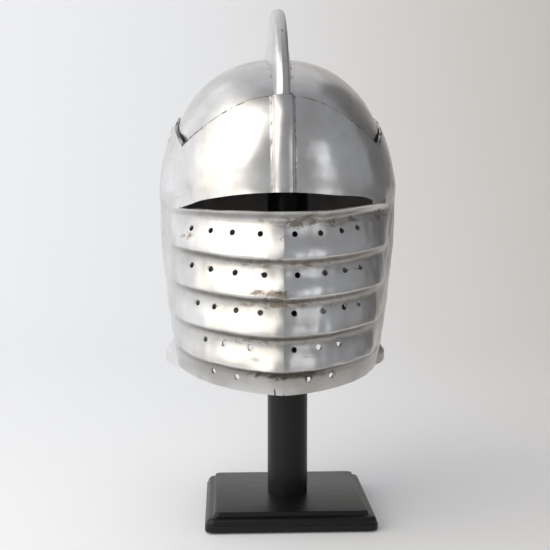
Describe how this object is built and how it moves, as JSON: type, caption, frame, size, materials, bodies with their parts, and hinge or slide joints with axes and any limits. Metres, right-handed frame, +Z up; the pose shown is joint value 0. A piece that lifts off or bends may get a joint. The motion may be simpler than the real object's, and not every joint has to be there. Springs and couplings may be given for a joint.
{
  "type": "knight helmet",
  "caption": "Polished steel knight's close helmet with tall comb and lifting bellows visor, leather lined, lifting off a black wooden display stand.",
  "frame": {"origin": "centre of the stand's underside, on the pole's axis", "axes": "+Z up along the pole, -Y the way the helmet faces, +X to its left (the right of a person facing it)"},
  "size_m": [0.2318, 0.2784, 0.499],
  "materials": {
    "polished_steel": "hand-polished mild steel with small pits, stains and dents",
    "bolt_steel": "brushed steel",
    "zinc_steel": "plain steel",
    "black_wood": "black satin paint on wood",
    "felt": "wool felt",
    "leather": "vegetable-tanned leather",
    "lace": "waxed linen lace",
    "brass": "worn brass"
  },
  "bodies": {
    "stand": {"stand_base": "black_wood", "base_felt": "felt", "stand_pole": "black_wood", "pole_cap": "black_wood", "cap_pad": "felt", "base_screw": "zinc_steel", "cap_screw": "zinc_steel"},
    "helmet": {"skull": "polished_steel", "comb": "polished_steel", "pivot_bolts": "bolt_steel", "pivot_spacers": "leather", "pivot_washers": "zinc_steel", "pivot_nuts": "zinc_steel", "liner_band": "leather", "liner_tongues": "leather", "crown_lace": "lace", "liner_rivets": "bolt_steel", "strap_left": "leather", "strap_right": "leather", "strap_rivets": "bolt_steel", "strap_keeper": "leather", "buckle_frame": "brass"},
    "visor": {"visor": "polished_steel"},
    "prong": {"buckle_prong": "brass"}
  },
  "joints": [
    {"name": "helmet_lift", "type": "slide", "parent": "stand", "child": "helmet", "axis": [0, 0, 1], "range_m": [0, 0.34]},
    {"name": "visor_swing", "type": "hinge", "parent": "helmet", "child": "visor", "pos_m": [-0.01, 0.018, 0.368], "axis": [-1, 0, 0], "range_deg": [0, 42]},
    {"name": "prong_lift", "type": "hinge", "parent": "helmet", "child": "prong", "pos_m": [-0.06673, -0.032, 0.20337], "axis": [0, 1, 0], "range_deg": [0, 35]}
  ]
}
